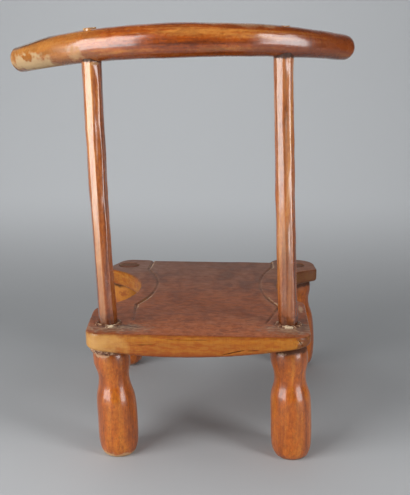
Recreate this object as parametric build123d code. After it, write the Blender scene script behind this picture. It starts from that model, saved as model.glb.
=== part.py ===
"""A low hand-carved birthing chair: butterfly seat, bottle legs, two posts and a bent crest rail.

Millimetres, +Z up.  The sitter faces -Y and the sitter's left is +X.  The origin lies on the floor,
below the middle of the chair's overall size.
"""

from build123d import *
import os
from math import asin, cos, degrees, radians, sin, sqrt

# ---- Fits ----
TENON_CLEARANCE = 0.15  # all round a tenon in its mortise
SHOULDER_GAP = 0.2  # between a scribed shoulder and the curved face that it meets
CUT_MARGIN = 5.0  # how far a cutting tool runs past the face that it opens

# ---- Seat: (x from its centreline, y from its rear edge), carved by eye, so the sides differ ----
SEAT_AXIS_X = -28.0
SEAT_REAR_Y = 222.0
SEAT_TOP = 195.0
SEAT_THICKNESS = 32.5  # where the crowned underside is lowest
REAR_CORNER = {"left": (149.5, 0.0), "right": (-156.5, 0.0)}
FLARE = {"left": 20.0, "right": 1.0}  # how far a side has spread by the middle of its notch
REAR_CORNER_RADIUS = 22.0
FRONT_EDGE = 419.0  # from the rear edge to the front edge between the lobes
FRONT_PANEL_HALF_WIDTH = 108.0
CROWN_AXIS_X = 25.0  # the underside's lowest line
CROWN_RADIUS_REAR = 850.0
CROWN_RADIUS_FRONT = 3200.0
TOP_EDGE_RADIUS = 2.5
BOTTOM_EDGE_RADIUS = 5.0
NOTCH_CORNER_RADIUS = 26.0  # where a notch runs out into the rear lobe
NOTCH_CENTRE = {"left": (247.0, -228.0), "right": (-242.0, -255.0)}
NOTCH_RADIUS = {"left": 140.0, "right": 125.0}

# ---- A front lobe's corners, each (outward, forward) of the one before, from the front panel's corner ----
TOE_INNER_STEP = {"left": (11.0, 5.0), "right": (11.0, 26.0)}
TOE_INNER_RADIUS = {"left": 14.0, "right": 22.0}
TOE_OUTER_STEP = {"left": (44.0, 2.0), "right": (69.0, 0.0)}
TOE_OUTER_RADIUS = {"left": 26.0, "right": 38.0}
TIP_STEP = {"left": (29.0, -82.0), "right": (6.0, -95.0)}  # to the lobe's outer corner, cut by the notch
TIP_CORNER_RADIUS = 8.0

# ---- V grooves in the seat's top, along the notches ----
GROOVE_WIDTH = 3.6
GROOVE_DEPTH = 2.2
GROOVE_RUNOUT = 1.0  # how far its cutter reaches above the top
GROOVE_INSET = 27.0  # from the notch's edge, at its deepest
GROOVE_FRONT = {"left": (109.0, -352.0), "right": (-112.0, -380.0)}  # end of the straight front run
GROOVE_REAR = {"left": (99.0, -140.0), "right": (-117.0, -138.0)}  # start of the straight rear run
GROOVE_END = {"left": (92.0, -62.0), "right": (-97.0, -58.0)}

# ---- Legs ----
FOOT_RADIUS = 18.0
BOTTLE = ((25.2, 7.0), (28.0, 24.0), (28.5, 55.0), (27.4, 86.0))  # (radius, height) up to the shoulder
NECK_RADIUS = 21.5
HEAD_RADIUS = 26.5
HEAD_HEIGHT = 26.0  # above the neck
LEG_TENON_RADIUS = 18.0
FOOT_POINT = {
    "front_left": (155.0, -393.5),
    "front_right": (-165.0, -408.0),
    "rear_left": (115.5, -48.0),
    "rear_right": (-135.0, -54.0),
}
SEAT_POINT = {
    "front_left": (149.0, -383.0),
    "front_right": (-153.0, -400.0),
    "rear_left": (124.5, -46.5),
    "rear_right": (-127.5, -57.0),
}
NECK_HEIGHT = {"front_left": 120.0, "front_right": 128.0, "rear_left": 115.0, "rear_right": 119.0}

# ---- Back: two posts and the crest rail ----
POST_LEAN = {"left": 12.0, "right": 15.7}  # how far the top stands to the left of the foot
POST_SIZE = {"left": (25.0, 23.0, 24.0, 26.0), "right": (25.0, 23.5, 23.5, 22.5)}  # foot to top
POST_SIDES = 8
POST_CORNER_RADIUS = 3.0
POST_TENON_RADIUS = 9.0
POST_TENON_DEPTH = 44.0  # down through the seat into the leg
POST_TENON_PROUD = {"left": 3.0, "right": 0.8}  # above the rail
RAIL_CROWN = (-4.5, 200.5, 578.2)
RAIL_RADIUS = 302.0  # of the bent centreline
RAIL_ANGLE = {"left": 49.3, "right": 48.0}  # degrees that it bends on each side of the crown
RAIL_TILT = 7.6  # degrees that the plane of the bend dips forward
RAIL_LEAN = 1.6  # degrees that it dips to the left
RAIL_SIZE = (43.5, 42.5)  # depth, height at the crown
RAIL_END_SIZE = {"left": (37.5, 36.5), "right": (35.0, 33.5)}
RAIL_TAPER_POWER = 1.5
RAIL_HALF_STATIONS = 4
RAIL_END_RADIUS = {"left": 3.0, "right": 9.0}

# ---- Wedges and filler ----
WEDGE_THICKNESS = 3.2
WEDGE_TIP = 1.2
WEDGE_DEPTH = 22.0
WEDGE_CLEARANCE = 0.1
FILLER_RADIUS = 19.0
FILLER_TOP_RADIUS = 15.5
FILLER_HEIGHT = 3.0
LEG_FILLER_WIDTH = 3.0
LEG_FILLER_HEIGHT = 5.0
LEG_FILLER_ARC = 110.0

SIDES = ("left", "right")
LEGS = ("front_left", "front_right", "rear_left", "rear_right")
SEAT_PLACE = Location((SEAT_AXIS_X, SEAT_REAR_Y, 0))
RAIL_PLACE = Location(RAIL_CROWN, (RAIL_TILT, RAIL_LEAN, 0))
HUGE = 2000.0  # larger than the chair every way
SAME_PLACE = 0.001  # two points nearer than this are one


# ---- Helpers ----
def seat_point(point, height):
    """A point of the seat's plan, at a height, in the chair's frame."""
    return Vector(SEAT_AXIS_X + point[0], SEAT_REAR_Y + point[1], height)


def axis_plane(start, end):
    """A plane at start whose normal points to end."""
    normal = (end - start).normalized()
    return Plane(origin=start, x_dir=Vector(0, 1, 0).cross(normal), z_dir=normal)


def above(height):
    """Everything above a level, as a tool to trim with."""
    return Location((0, 0, height)) * Box(HUGE, HUGE, HUGE, align=(Align.CENTER, Align.CENTER, Align.MIN))


def below(height):
    """Everything below a level, as a tool to trim with."""
    return Location((0, 0, height)) * Box(HUGE, HUGE, HUGE, align=(Align.CENTER, Align.CENTER, Align.MAX))


def round_bar(radius, start, end):
    """A cylinder along +Z from start to end."""
    align = (Align.CENTER, Align.CENTER, Align.MIN)
    return Location((0, 0, start)) * Cylinder(radius, end - start, align=align)


def leg_axis(leg):
    """The leg's axis: its origin on the floor, its normal up through the seat."""
    return axis_plane(seat_point(FOOT_POINT[leg], 0), seat_point(SEAT_POINT[leg], SEAT_TOP))


def rail_drop(x):
    """How far the rail's centreline has come forward at this distance across the chair."""
    return RAIL_RADIUS - sqrt(RAIL_RADIUS**2 - x**2)


def post_top(side):
    """The point where the post's axis meets the rail's centreline."""
    foot = seat_point(SEAT_POINT["rear_" + side], SEAT_TOP)
    x = foot.X + POST_LEAN[side] - RAIL_CROWN[0]
    y = -rail_drop(x) * cos(radians(RAIL_TILT))
    z = -rail_drop(x) * sin(radians(RAIL_TILT)) - x * sin(radians(RAIL_LEAN))
    return Vector(*RAIL_CROWN) + Vector(x, y, z)


def post_length(side):
    return (post_top(side) - seat_point(SEAT_POINT["rear_" + side], SEAT_TOP)).length


def post_axis(side):
    """The post's axis: its origin on the seat, over the rear leg, its normal up to the rail."""
    return axis_plane(seat_point(SEAT_POINT["rear_" + side], SEAT_TOP), post_top(side))


def only_lowest(shape):
    return shape.solids().sort_by(Axis.Z)[0]


# ---- Seat ----
def seat_plan():
    """The butterfly outline: a plank with two front lobes, and a round notch in each side."""
    plan = make_face(Polyline(*side_corners("left"), *reversed(side_corners("right")), close=True))
    for side in SIDES:
        plan -= Location(NOTCH_CENTRE[side]) * Circle(NOTCH_RADIUS[side])
    plan = fillet(plan.vertices().sort_by(Axis.Y)[-2:], REAR_CORNER_RADIUS)
    for side in SIDES:
        toe_inner, toe_outer = side_corners(side)[1:3]
        plan = fillet([nearest_vertex(plan, toe_outer)], TOE_OUTER_RADIUS[side])
        plan = fillet([nearest_vertex(plan, toe_inner)], TOE_INNER_RADIUS[side])
        plan = fillet([notch_ends(plan, side)[0]], NOTCH_CORNER_RADIUS)
        plan = fillet([notch_ends(plan, side)[1]], TIP_CORNER_RADIUS)
    return plan


def side_corners(side):
    """The outline's corners down one side, from the front panel to the rear edge."""
    outward = 1 if side == "left" else -1
    corners = [(outward * FRONT_PANEL_HALF_WIDTH, -FRONT_EDGE)]
    for step in (TOE_INNER_STEP[side], TOE_OUTER_STEP[side], TIP_STEP[side]):
        corners.append((corners[-1][0] + outward * step[0], corners[-1][1] - step[1]))
    rear = REAR_CORNER[side]
    return [*corners, (rear[0] + outward * FLARE[side], NOTCH_CENTRE[side][1]), rear]


def nearest_vertex(plan, point):
    return plan.vertices().sort_by_distance(point)[0]


def notch_ends(plan, side):
    """The corners where a notch begins at the rear lobe and ends at the front lobe's tip."""
    centre = Vector(*NOTCH_CENTRE[side])
    radius = NOTCH_RADIUS[side]
    on_notch = [v for v in plan.vertices() if abs((Vector(v) - centre).length - radius) < SAME_PLACE]
    ends = sorted(on_notch, key=lambda vertex: vertex.Y)
    return ends[-1], ends[0]


def crown_section(radius, y, drop):
    """A cross-section of the plank, not yet cut to thickness: its underside is crowned across the seat."""
    half = max(abs(x) for side in SIDES for x, y in side_corners(side)) + CUT_MARGIN
    bottom = SEAT_TOP - SEAT_THICKNESS - drop
    top = SEAT_TOP + SEAT_THICKNESS

    def under(x):
        return bottom + radius - sqrt(radius**2 - (x - CROWN_AXIS_X) ** 2)

    crown = ThreePointArc((-half, under(-half)), (CROWN_AXIS_X, bottom), (half, under(half)))
    rest = Polyline((half, under(half)), (half, top), (-half, top), (-half, under(-half)))
    return Plane(origin=(0, y, 0), x_dir=(1, 0, 0), z_dir=(0, -1, 0)) * make_face(crown + rest)


def plank(drop=0.0):
    """The rough plank, in the seat's own place, with its underside lowered by drop."""
    rear = crown_section(CROWN_RADIUS_REAR, CUT_MARGIN, drop)
    front_most = min(y for side in SIDES for x, y in side_corners(side))
    front = crown_section(CROWN_RADIUS_FRONT, front_most - CUT_MARGIN, drop)
    return loft([rear, front], ruled=True)


def groove(side):
    """A V groove that follows the notch, with a straight run at both ends."""
    centre = NOTCH_CENTRE[side]
    outward = 1 if side == "left" else -1
    deepest = (centre[0] - outward * (NOTCH_RADIUS[side] + GROOVE_INSET), centre[1])
    turn = GROOVE_FRONT[side]
    front = (turn[0], -FRONT_EDGE - CUT_MARGIN)
    path = Line(front, turn) + ThreePointArc(turn, deepest, GROOVE_REAR[side])
    path += Line(GROOVE_REAR[side], GROOVE_END[side])
    half = GROOVE_WIDTH / 2
    flare = half / GROOVE_DEPTH * (GROOVE_DEPTH + GROOVE_RUNOUT)
    outline = Polyline((-flare, GROOVE_RUNOUT), (flare, GROOVE_RUNOUT), (0, -GROOVE_DEPTH), close=True)
    start = Plane(origin=(*front, 0), x_dir=(-1, 0, 0), z_dir=(0, 1, 0))
    cutter = sweep(start * make_face(outline), path=path, transition=Transition.RIGHT)
    return Location((0, 0, SEAT_TOP)) * cutter


def make_seat():
    seat = extrude(seat_plan(), SEAT_TOP) & plank()
    seat = fillet(seat.faces().sort_by(Axis.Z)[-1].edges(), TOP_EDGE_RADIUS)
    seat = fillet(seat.faces().sort_by(Axis.Z)[0].edges(), BOTTOM_EDGE_RADIUS)
    for side in SIDES:
        seat -= groove(side)
    seat = SEAT_PLACE * seat
    for leg in LEGS:
        mortise = round_bar(LEG_TENON_RADIUS + TENON_CLEARANCE, 0, SEAT_TOP + CUT_MARGIN)
        seat -= leg_axis(leg) * mortise
    return seat


# ---- Legs ----
def leg_profile(leg):
    """Half of the bottle shape, from below the floor to above its shoulder."""
    neck = NECK_HEIGHT[leg]
    head = neck + HEAD_HEIGHT
    bottle = Spline((FOOT_RADIUS, 0), *BOTTLE, (NECK_RADIUS, neck), (HEAD_RADIUS, head))
    rest = Polyline(
        (HEAD_RADIUS, head),
        (HEAD_RADIUS, SEAT_TOP),
        (0, SEAT_TOP),
        (0, -CUT_MARGIN),
        (FOOT_RADIUS, -CUT_MARGIN),
        (FOOT_RADIUS, 0),
    )
    return make_face(bottle + rest)


def wedge_blank(top, grow=0.0):
    """A wedge that points down from top, wide enough to split a tenon right through."""
    half_top = WEDGE_THICKNESS / 2 + grow
    half_tip = WEDGE_TIP / 2 + grow
    tip = top - WEDGE_DEPTH - grow
    outline = Polyline((-half_tip, tip), (half_tip, tip), (half_top, top), (-half_top, top), close=True)
    return extrude(Plane.YZ * make_face(outline), 2 * LEG_TENON_RADIUS, both=True)


def make_leg(leg):
    axis = leg_axis(leg)
    body = axis * revolve(Plane.XZ * leg_profile(leg), Axis.Z)
    body = only_lowest(body - SEAT_PLACE * plank(SHOULDER_GAP)) - below(0)
    tenon = axis * round_bar(LEG_TENON_RADIUS, NECK_HEIGHT[leg], SEAT_TOP + CUT_MARGIN)
    piece = body + (tenon - above(SEAT_TOP))
    if leg.startswith("front"):
        return piece - axis * wedge_blank(SEAT_TOP, WEDGE_CLEARANCE)
    side = leg.removeprefix("rear_")
    bore = round_bar(POST_TENON_RADIUS + TENON_CLEARANCE, -POST_TENON_DEPTH - SHOULDER_GAP, CUT_MARGIN)
    return piece - post_axis(side) * bore


def make_leg_wedge(leg):
    axis = leg_axis(leg)
    inside = axis * round_bar(LEG_TENON_RADIUS, 0, SEAT_TOP + CUT_MARGIN)
    return (axis * wedge_blank(SEAT_TOP) & inside) - above(SEAT_TOP)


# ---- Back ----
def post_section(side, station, grow):
    """The whittled post's section at a station: a regular polygon with softened corners."""
    size = POST_SIZE[side][station] + 2 * grow
    outline = RegularPolygon(size / 2, POST_SIDES, major_radius=False)
    return fillet(outline.vertices(), POST_CORNER_RADIUS)


def post_body(side, grow=0.0):
    """The shaft, from just below the seat's top to the rail's centreline."""
    length = post_length(side)
    gap = length / (len(POST_SIZE[side]) - 1)
    stations = range(len(POST_SIZE[side]))
    sections = [Location((0, 0, station * gap)) * post_section(side, station, grow) for station in stations]
    foot = extrude(sections[0], -CUT_MARGIN)
    return post_axis(side) * (loft(sections) + foot)


def tenon_top(side):
    """Where the post's upper tenon ends, along the post."""
    offset = post_top(side).X - RAIL_CROWN[0]
    angle = degrees(asin(offset / RAIL_RADIUS))
    return post_length(side) + rail_size(angle)[1] / 2 + POST_TENON_PROUD[side]


def make_post(side):
    shaft = only_lowest(post_body(side) - rail_blank(SHOULDER_GAP)) - below(SEAT_TOP)
    tenons = post_axis(side) * round_bar(POST_TENON_RADIUS, -POST_TENON_DEPTH, tenon_top(side))
    return shaft + tenons - post_axis(side) * wedge_blank(tenon_top(side), WEDGE_CLEARANCE)


def make_post_wedge(side):
    inside = round_bar(POST_TENON_RADIUS, 0, tenon_top(side))
    return post_axis(side) * (wedge_blank(tenon_top(side)) & inside)


def rail_size(angle):
    """The rail's depth and height at an angle round its bend: it thins towards the ends."""
    side = "left" if angle > 0 else "right"
    thinning = (abs(angle) / RAIL_ANGLE[side]) ** RAIL_TAPER_POWER
    return [full - (full - end) * thinning for full, end in zip(RAIL_SIZE, RAIL_END_SIZE[side])]


def rail_blank(grow=0.0):
    """The bent branch before its ends are rounded, as a loft of ovals round the bend."""
    sections = []
    for index in range(-RAIL_HALF_STATIONS, RAIL_HALF_STATIONS + 1):
        angle = index / RAIL_HALF_STATIONS * RAIL_ANGLE["left" if index > 0 else "right"]
        turn = radians(angle)
        point = (RAIL_RADIUS * sin(turn), RAIL_RADIUS * (cos(turn) - 1), 0)
        tangent = (cos(turn), -sin(turn), 0)
        station = Plane(origin=point, x_dir=(sin(turn), cos(turn), 0), z_dir=tangent)
        depth, height = rail_size(angle)
        sections.append(station * Ellipse(depth / 2 + grow, height / 2 + grow))
    return RAIL_PLACE * loft(sections)


def make_rail():
    rail = rail_blank()
    ends = rail.faces().sort_by(Axis.X)
    rail = fillet(ends[0].edges(), RAIL_END_RADIUS["right"])
    rail = fillet(rail.faces().sort_by(Axis.X)[-1].edges(), RAIL_END_RADIUS["left"])
    for side in SIDES:
        reach = post_length(side)
        bar = round_bar(POST_TENON_RADIUS + TENON_CLEARANCE, reach - RAIL_SIZE[1], reach + RAIL_SIZE[1])
        rail -= post_axis(side) * bar
    return rail


# ---- Filler ----
def make_post_filler(side):
    """A low collar of filler on the seat, round the post's foot."""
    align = (Align.CENTER, Align.CENTER, Align.MIN)
    collar = Cone(FILLER_RADIUS, FILLER_TOP_RADIUS, FILLER_HEIGHT, align=align)
    foot = seat_point(SEAT_POINT["rear_" + side], SEAT_TOP)
    return Location(foot) * collar - post_body(side, SHOULDER_GAP)


def make_leg_filler():
    """A crescent of filler against the rear left leg's head, under the seat."""
    leg = "rear_left"
    inner = HEAD_RADIUS + SHOULDER_GAP
    shoulder = SEAT_TOP - SEAT_THICKNESS
    profile = Polyline(
        (inner, shoulder - LEG_FILLER_HEIGHT),
        (inner + LEG_FILLER_WIDTH, shoulder),
        (inner + LEG_FILLER_WIDTH, SEAT_TOP),
        (inner, SEAT_TOP),
        close=True,
    )
    crescent = revolve(Plane.XZ * make_face(profile), Axis.Z, revolution_arc=LEG_FILLER_ARC)
    return only_lowest(leg_axis(leg) * crescent - SEAT_PLACE * plank(SHOULDER_GAP))


# ---- The chair ----
def make_chair():
    pieces = {"seat": make_seat(), "crest_rail": make_rail(), "filler_leg_rear_left": make_leg_filler()}
    for leg in LEGS:
        pieces["leg_" + leg] = make_leg(leg)
    for side in SIDES:
        pieces["post_" + side] = make_post(side)
        pieces["wedge_front_" + side] = make_leg_wedge("front_" + side)
        pieces["wedge_post_" + side] = make_post_wedge(side)
        pieces["filler_post_" + side] = make_post_filler(side)
    return pieces


def main():
    os.makedirs("parts", exist_ok=True)
    for name, piece in make_chair().items():
        export_step(piece, "parts/" + name + ".step")
        box = piece.bounding_box()
        print(name, len(piece.solids()), [round(v, 1) for v in (*box.min, *box.max)])


if __name__ == "__main__":
    main()
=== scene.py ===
"""A low carved birthing chair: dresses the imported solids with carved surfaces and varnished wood.

Run as a script in Blender.  Every piece is in metres, in the frame of the solids: the sitter faces -Y and
the sitter's left is +X.  Lengths in the tables below are millimetres, as a maker would measure them.
"""

import random
from collections import Counter, namedtuple
from contextlib import contextmanager
from math import cos, pi, radians, sin

import bpy
import numpy as np
from bpy.props import FloatProperty, FloatVectorProperty, IntProperty, PointerProperty
from mathutils import Matrix, Vector


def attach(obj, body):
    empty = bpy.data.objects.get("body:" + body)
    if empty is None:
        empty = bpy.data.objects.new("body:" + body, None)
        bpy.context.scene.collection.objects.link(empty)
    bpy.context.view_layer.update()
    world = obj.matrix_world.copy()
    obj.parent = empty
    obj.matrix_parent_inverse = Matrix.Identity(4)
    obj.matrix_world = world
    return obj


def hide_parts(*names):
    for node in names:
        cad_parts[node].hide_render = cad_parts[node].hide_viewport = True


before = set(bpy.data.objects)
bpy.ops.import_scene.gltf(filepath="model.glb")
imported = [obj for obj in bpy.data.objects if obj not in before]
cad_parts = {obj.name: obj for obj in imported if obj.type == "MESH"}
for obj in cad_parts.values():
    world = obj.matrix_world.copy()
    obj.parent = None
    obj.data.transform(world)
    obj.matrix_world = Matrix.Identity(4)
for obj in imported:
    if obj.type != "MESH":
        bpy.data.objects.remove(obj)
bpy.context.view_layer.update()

bl_info = {
    "name": "Carved birthing chair",
    "version": (1, 0, 0),
    "blender": (4, 5, 0),
    "location": "3D View > Sidebar > Chair",
    "description": "Carves, varnishes and lights a low wooden birthing chair",
    "category": "Object",
}

MM = 0.001
BODY = "root"
SEED_STEP = 0.01  # metres between the lumps of one seed and those of the next

# ---- Legs: foot and top in plan, height of the neck, bow to the left, thicker head, turn of the facets ----
SEAT_TOP = 195
Leg = namedtuple("Leg", "foot top neck bow head turn seed")
LEGS = {
    "front_left": Leg((127, -171.5), (121, -161), 120, 2.5, 3.5, 8, 3),
    "front_right": Leg((-194, -186), (-181, -178), 128, -1.5, 0, 20, 5),
    "rear_left": Leg((85.6, 174), (96.5, 175.5), 115, -1.6, 0, -4.5, 7),
    "rear_right": Leg((-164, 168), (-155.5, 165), 119, -1.2, 0.5, 11.5, 11),
}
LEG_FACETS = 14
LEG_WOBBLE = (0.012, 1.5, 6)  # off round by this share, off true by degrees, and the inset of the end
LEG_FULLNESS = 1.035  # rounding off draws the facets in by about this share
LEG_BOW_REACH = 1.3  # the bow ends this many neck heights up
# (radius, height) up to the bulge: the front feet are worn rounder
FEET = {
    "front": ((12.5, -1), (15.5, 1.2), (20.2, 4.5), (24.2, 10), (27, 19)),
    "rear": ((19.5, -1), (22.4, 1.5), (25.4, 6.5), (27.4, 14), (28.3, 24)),
}
BULGE = ((28.6, 38), (28.8, 54), (28.8, 68), (28.6, 78))
# (radius, height above the neck)
SHOULDER = ((27.9, -28), (26.4, -21.5), (24.3, -15), (22.7, -9), (21.9, -2), (22, 4), (22.8, 10))
SHOULDER += ((24.4, 15.5), (26.2, 22), (26.7, 31), (26.6, 46))
LEG_TENON_RADIUS = 18
TENON_TOP = 195.1

# ---- Posts: a painted highlight lies on the facets facing (degrees from the rear, strength) ----
Post = namedtuple("Post", "foot top end bow turn rubbed seed")
POSTS = {
    "left": Post((96.5, 175.5), (108.5, 179.1, 574), 594.4, 1.9, 4.5, ((-19, 1),), 21),
    "right": Post((-155.5, 165), (-139.8, 169, 577.7), 597, 0.9, -4, ((-28, 0.55), (20, 0.5)), 23),
}
# (radius, share of the way from the seat to the rail), after the same foot for both
SHAFT_FOOT = ((13.6, 0), (13.6, 0.004), (13.1, 0.1))
SHAFTS = {
    "left": ((12.9, 0.3), (13.2, 0.48), (13.3, 0.66), (13.6, 0.82), (13.7, 0.95)),
    "right": ((12.8, 0.3), (12.7, 0.5), (12.7, 0.66), (12.8, 0.82), (13.2, 0.95)),
}
SHAFT_TOP = 0.97  # the shaft's end, inside the rail
POST_FACETS = 8
POST_WOBBLE = (0.03, 5, 3)
POST_TENON_RADIUS = 9
POST_SINK = 6  # how far the shaft's foot reaches into the seat

# ---- Crest rail: an oval bar bent round a circle, dipping forward and a little to the left ----
RAIL_CROWN = (-4.5, 200.5, 578.1)
RAIL_RADIUS = 302
RAIL_TILT = 7.6
RAIL_LEAN = 1.6
RAIL_SIZE = (43.5, 42.5)  # depth and height at the crown
RAIL_END_SIZE = {"left": (37.5, 36.5), "right": (35, 33.5)}
RAIL_TAPER_POWER = 1.5
RAIL_ANGLE = {"left": 49.31, "right": 47.83}
RAIL_STEPS = 12  # on each side of the crown
RAIL_FACETS = 14
# an adze has taken a flat off the back of the left end
FLAT_FACING = (0.324, 0.312, 0.892)  # in the bend's own frame
FLAT_REACH = 58.3  # from the crown
FLAT_CREASE = 18  # degrees: a sharper edge than this stays crisp
# (share of the section's size, degrees past the last full section) that close each end
RAIL_CAP = {
    "left": ((1, -0.8), (1, -0.12), (0.97, 0), (0.88, 0.05), (0.5, 0.02)),
    "right": ((1.03, -2.4), (1.02, -1.3), (0.95, -0.6), (0.78, -0.12), (0.4, 0.05)),
}

# ---- Seat ----
SEAT_REAR_Y = 222
SEAT_KEPT = 0.45  # the share of the fine skin's faces that is kept
# the carved grooves, each a straight run, a bend through three points and another straight run to the rear
GROOVES = {
    "left": ((81, -197), (81, -130), (52, -6), (71, 82), (64, 160)),
    "right": ((-140, -197), (-140, -158), (-118, -33), (-145, 84), (-125, 164)),
}
GROOVE_STEPS = 24
GROOVE_HALF = 2.4  # half the width that the knife has opened
GROOVE_SKIN = 5  # only this much of the plank's thickness is pressed down
# (mask, middle of the line beside the groove, half its width, how much it follows the knife's pressure)
# the first line is painted shade in the groove, the second a painted highlight on its lit wall, the third
# wear along it
GROOVE_LINES = (("groove_shade", -0.6, 2.9, 1), ("groove_lip", 2.4, 1.6, 3), ("groove_rub", 0, 8, 1))
GROOVE_LINE_EDGE = 1.6  # how soon a line is full
# how far the knife was pressed in, at these distances along y
PRESSURE_AT = (-197, -152, -125, 5, 26, 40, 90, 104, 170)
PRESSURE = (1, 0.9, 0.3, 0.3, 0.6, 1, 1, 0.35, 0.1)
# a drying split in the rear face: (x, z, length, thickness, degrees it climbs towards the left)
SPLITS = (
    (-80, 172.5, 34, 1.4, 14),
    (-107, 176, 16, 0.9, 4),
    (-140, 171, 36, 1.2, -14),
    (-170, 187.5, 13, 0.9, -58),
    (-166, 175.5, 9, 0.8, 70),
    (38, 181, 26, 0.7, 2),
    (-20, 189, 60, 0.7, 0.5),
)
SPLIT_REACH = 7  # into the wood

# ---- Wedges and filler ----
WEDGE_DEPTH = 20
FRONT_WEDGE = (35, 2.6, 0)  # length, thickness and slope of its top
POST_WEDGE = (17, 2.8, 0.08)
FRONT_WEDGE_SINK = 9.6  # its middle, below the seat's top
POST_WEDGE_PROUD = {"left": 1.2, "right": 0.2}
LEG_FILLER_HEIGHT = 160


# ---- Colours ----
def linear(code):
    """An sRGB hex colour as linear red, green, blue and a full alpha."""
    parts = [int(code[i : i + 2], 16) / 255 for i in (1, 3, 5)]
    return (*(p / 12.92 if p <= 0.04045 else ((p + 0.055) / 1.055) ** 2.4 for p in parts), 1)


def rgba(colour):
    """A hex colour, or one of the user's colours, as a shader takes it."""
    return linear(colour) if isinstance(colour, str) else tuple(colour)


def deeper(colour, share):
    """The same colour, darker."""
    return (*(c * share for c in rgba(colour)[:3]), 1)


# ---- Sizes and colours that a user would change ----
def length_property(name, description, default, most, least=0):
    return FloatProperty(
        name=name,
        description=description,
        default=default * MM,
        min=least * MM,
        max=most * MM,
        subtype="DISTANCE",
        unit="LENGTH",
    )


def tint(name, description, default):
    """A colour that a user can set."""
    return FloatVectorProperty(
        name=name, description=description, subtype="COLOR", size=4, min=0, max=1, default=linear(default)
    )


class CarvingSettings(bpy.types.PropertyGroup):
    """How deep and how coarse the hand tools have cut."""

    seat_detail: length_property("Seat detail", "Size of the seat's smallest carved detail", 1.35, 6, 0.8)
    seat_wave: length_property("Seat unevenness", "How far the adze has left the plank uneven", 1.3, 4)
    groove_depth: length_property("Groove depth", "How far the knife goes below the solid's grooves", 1.8, 4)
    tool_marks: length_property("Tool marks", "Depth of the small cuts of the knife", 0.5, 2)
    smoothing: IntProperty(
        name="Smoothing", description="Subdivision levels of the legs, posts and rail",
        default=2, min=1, max=3,
    )


class FinishSettings(bpy.types.PropertyGroup):
    """Colours of the wood under its varnish, and of the studio."""

    leg_light: tint("Leg, light", "Light streaks of the leg wood", "#d07c24")
    leg_mid: tint("Leg", "Body colour of the leg wood", "#bc5e0e")
    leg_dark: tint("Leg, dark", "Dark streaks of the leg wood", "#803a0a")
    post_light: tint("Post, light", "Light streaks of the posts", "#d08a48")
    post_mid: tint("Post", "Body colour of the posts", "#ab5c28")
    post_dark: tint("Post, dark", "Dark streaks of the posts", "#683114")
    rail_light: tint("Rail, light", "Light streaks of the rail", "#d0843a")
    rail_mid: tint("Rail", "Body colour of the rail", "#a84d0c")
    rail_dark: tint("Rail, dark", "Dark streaks of the rail", "#5e280c")
    seat_top: tint("Seat top", "Body colour of the seat's top", "#924c25")
    seat_side: tint("Seat edge", "Body colour of the seat's edge", "#a05412")
    bare_wood: tint("Bare wood", "Wood where the varnish has worn away", "#c9a67c")
    filler: tint("Filler", "Dried wood filler", "#b59474")
    floor: tint("Floor", "Studio floor", "#b2b4b6")
    # the wall is paler than the floor, as painted light
    wall: tint("Wall", "Studio backdrop above the floor", "#d6d9dc")


def settings():
    return bpy.context.scene.chair_carving


def colours():
    return bpy.context.scene.chair_finish


def tones(wood):
    """The dark, the body and the light colour of a wood."""
    return [getattr(colours(), f"{wood}_{tone}") for tone in ("dark", "mid", "light")]


# ---- Bench tools ----
def take(piece):
    """Makes a piece the only one selected, and the active one."""
    if bpy.context.object and bpy.context.object.mode != "OBJECT":
        bpy.ops.object.mode_set(mode="OBJECT")
    bpy.ops.object.select_all(action="DESELECT")
    piece.select_set(True)
    bpy.context.view_layer.objects.active = piece
    return piece


def fresh(name):
    """The primitive that was just added, named, with its place, turn and size put into its mesh."""
    piece = take(bpy.context.object)
    piece.name = piece.data.name = name
    bpy.ops.object.transform_apply(location=True, rotation=True, scale=True)
    return piece


MESH_PARTS = ("vertices", "edges", "polygons")


@contextmanager
def mesh_open(piece, part="vertices", marks=None):
    """Opens a mesh for editing and closes it again: all of it is selected, or only the marked parts."""
    take(piece)
    if marks is not None:
        for kind in MESH_PARTS:
            elements = getattr(piece.data, kind)
            elements.foreach_set("select", marks if kind == part else [False] * len(elements))
    bpy.context.tool_settings.mesh_select_mode = [kind == part for kind in MESH_PARTS]
    bpy.ops.object.mode_set(mode="EDIT")
    if marks is None:
        bpy.ops.mesh.select_all(action="SELECT")
    yield
    bpy.ops.object.mode_set(mode="OBJECT")
    bpy.context.tool_settings.mesh_select_mode = (True, False, False)


def close_shell(piece):
    """Merges doubles and turns every face outwards."""
    with mesh_open(piece):
        bpy.ops.mesh.remove_doubles(threshold=0.01 * MM)
        bpy.ops.mesh.normals_make_consistent(inside=False)
    return piece


def slice_off(piece, point, outward, nearness=0.001 * MM):
    """Cuts away what lies beyond a plane, on the side that outward points to, and closes the cut."""
    with mesh_open(piece):
        bpy.ops.mesh.bisect(
            plane_co=point, plane_no=outward, use_fill=True, clear_outer=True, threshold=nearness
        )


def modify(piece, kind, **setup):
    """Adds a modifier with its settings and applies it."""
    take(piece)
    modifier = piece.modifiers.new(kind.lower(), kind)
    for name, value in setup.items():
        setattr(modifier, name, value)
    bpy.ops.object.modifier_apply(modifier=modifier.name)


def roughen(piece, size, depth, stretch=(1, 1, 1), offset=(0, 0, 0)):
    """Moves a surface in and out by depth, in lumps of size, longer where stretch says so."""
    bpy.ops.object.empty_add(location=offset)
    grid = bpy.context.object
    grid.scale = [size * s for s in stretch]
    bpy.context.view_layer.update()
    lumps = bpy.data.textures.new(piece.name + "_lumps", "CLOUDS")
    lumps.noise_scale = 1
    place = {"texture_coords": "OBJECT", "texture_coords_object": grid}
    modify(piece, "DISPLACE", texture=lumps, mid_level=0.5, strength=depth, **place)
    bpy.data.objects.remove(grid)


def round_off(piece, levels):
    modify(piece, "SUBSURF", levels=levels, render_levels=levels)


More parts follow.
